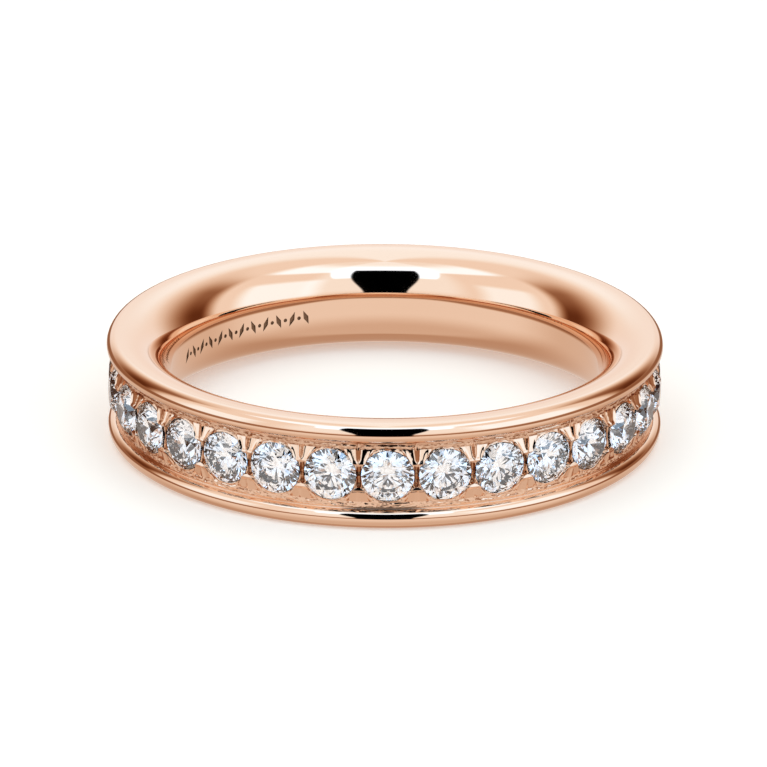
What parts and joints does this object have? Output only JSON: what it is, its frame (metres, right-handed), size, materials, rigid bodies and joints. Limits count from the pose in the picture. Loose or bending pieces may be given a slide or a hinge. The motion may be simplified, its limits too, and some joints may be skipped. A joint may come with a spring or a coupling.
{
  "type": "wedding band",
  "caption": "Comfort-fit metal band with two rounded rails and a channel between them that holds a full circle of round brilliants under shared prongs.",
  "frame": {"origin": "centre of the finger hole at half the band's width", "axes": "+Z along the finger axis, up when the ring lies flat; the first stone faces -Y"},
  "size_m": [0.0216, 0.0216, 0.0042],
  "materials": {
    "rose_gold": "polished rose gold",
    "diamond": "clear cut and polished stone"
  },
  "bodies": {
    "root": {"band": "rose_gold", "stone_01": "diamond", "stone_02": "diamond", "stone_03": "diamond", "stone_04": "diamond", "stone_05": "diamond", "stone_06": "diamond", "stone_07": "diamond", "stone_08": "diamond", "stone_09": "diamond", "stone_10": "diamond", "stone_11": "diamond", "stone_12": "diamond", "stone_13": "diamond", "stone_14": "diamond", "stone_15": "diamond", "stone_16": "diamond", "stone_17": "diamond", "stone_18": "diamond", "stone_19": "diamond", "stone_20": "diamond", "stone_21": "diamond", "stone_22": "diamond", "stone_23": "diamond", "stone_24": "diamond", "stone_25": "diamond", "stone_26": "diamond", "stone_27": "diamond", "stone_28": "diamond", "stone_29": "diamond", "stone_30": "diamond", "stone_31": "diamond"}
  },
  "joints": []
}
